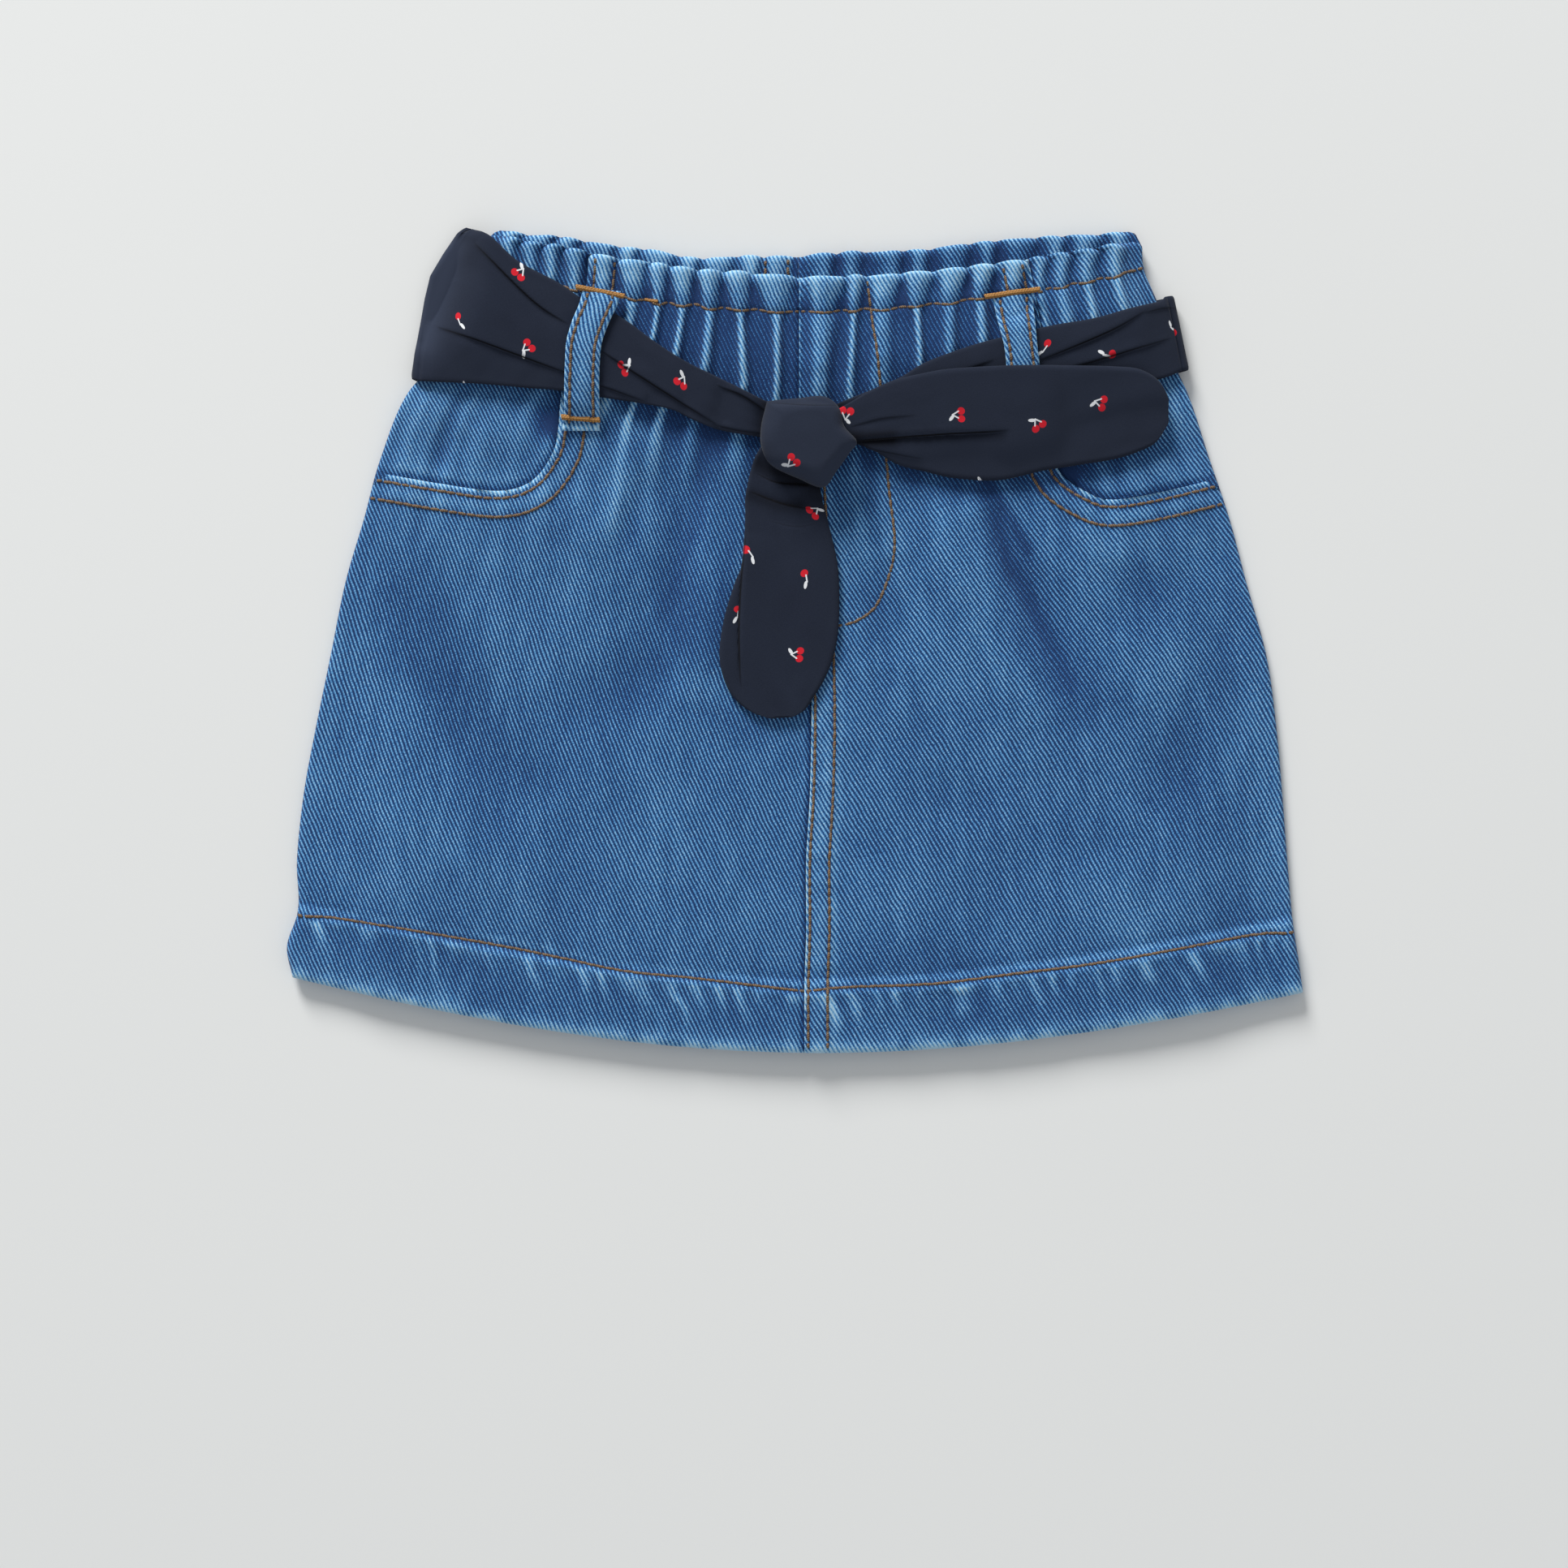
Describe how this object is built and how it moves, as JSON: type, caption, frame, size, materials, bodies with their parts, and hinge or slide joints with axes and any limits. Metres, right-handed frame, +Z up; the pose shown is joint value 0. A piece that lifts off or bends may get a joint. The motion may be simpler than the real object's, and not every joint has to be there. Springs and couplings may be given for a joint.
{
  "type": "denim mini skirt with a sash tie",
  "caption": "Toddler's denim mini skirt laid flat, with a gathered paper-bag waist, belt loops, front pockets and a knotted printed cotton sash.",
  "frame": {"origin": "middle of the outline seen from above, on the surface that the back lies on", "axes": "+X across the skirt to the right of the picture, +Y from hem to waist, +Z up from the surface out of the front"},
  "size_m": [0.2881, 0.2343, 0.0194],
  "materials": {
    "denim": "washed mid-blue cotton twill with brown stitching",
    "sash_cotton": "matt navy cotton with a small cherry print"
  },
  "bodies": {
    "root": {"back_left": "denim", "back_right": "denim", "front_left": "denim", "front_right": "denim", "pocket_yoke_left": "denim", "pocket_yoke_right": "denim", "belt_loop_left": "denim", "belt_loop_right": "denim", "sash_back": "sash_cotton", "sash_left": "sash_cotton", "sash_right": "sash_cotton", "sash_knot": "sash_cotton", "sash_tail_right": "sash_cotton", "sash_tail_down": "sash_cotton"}
  },
  "joints": []
}
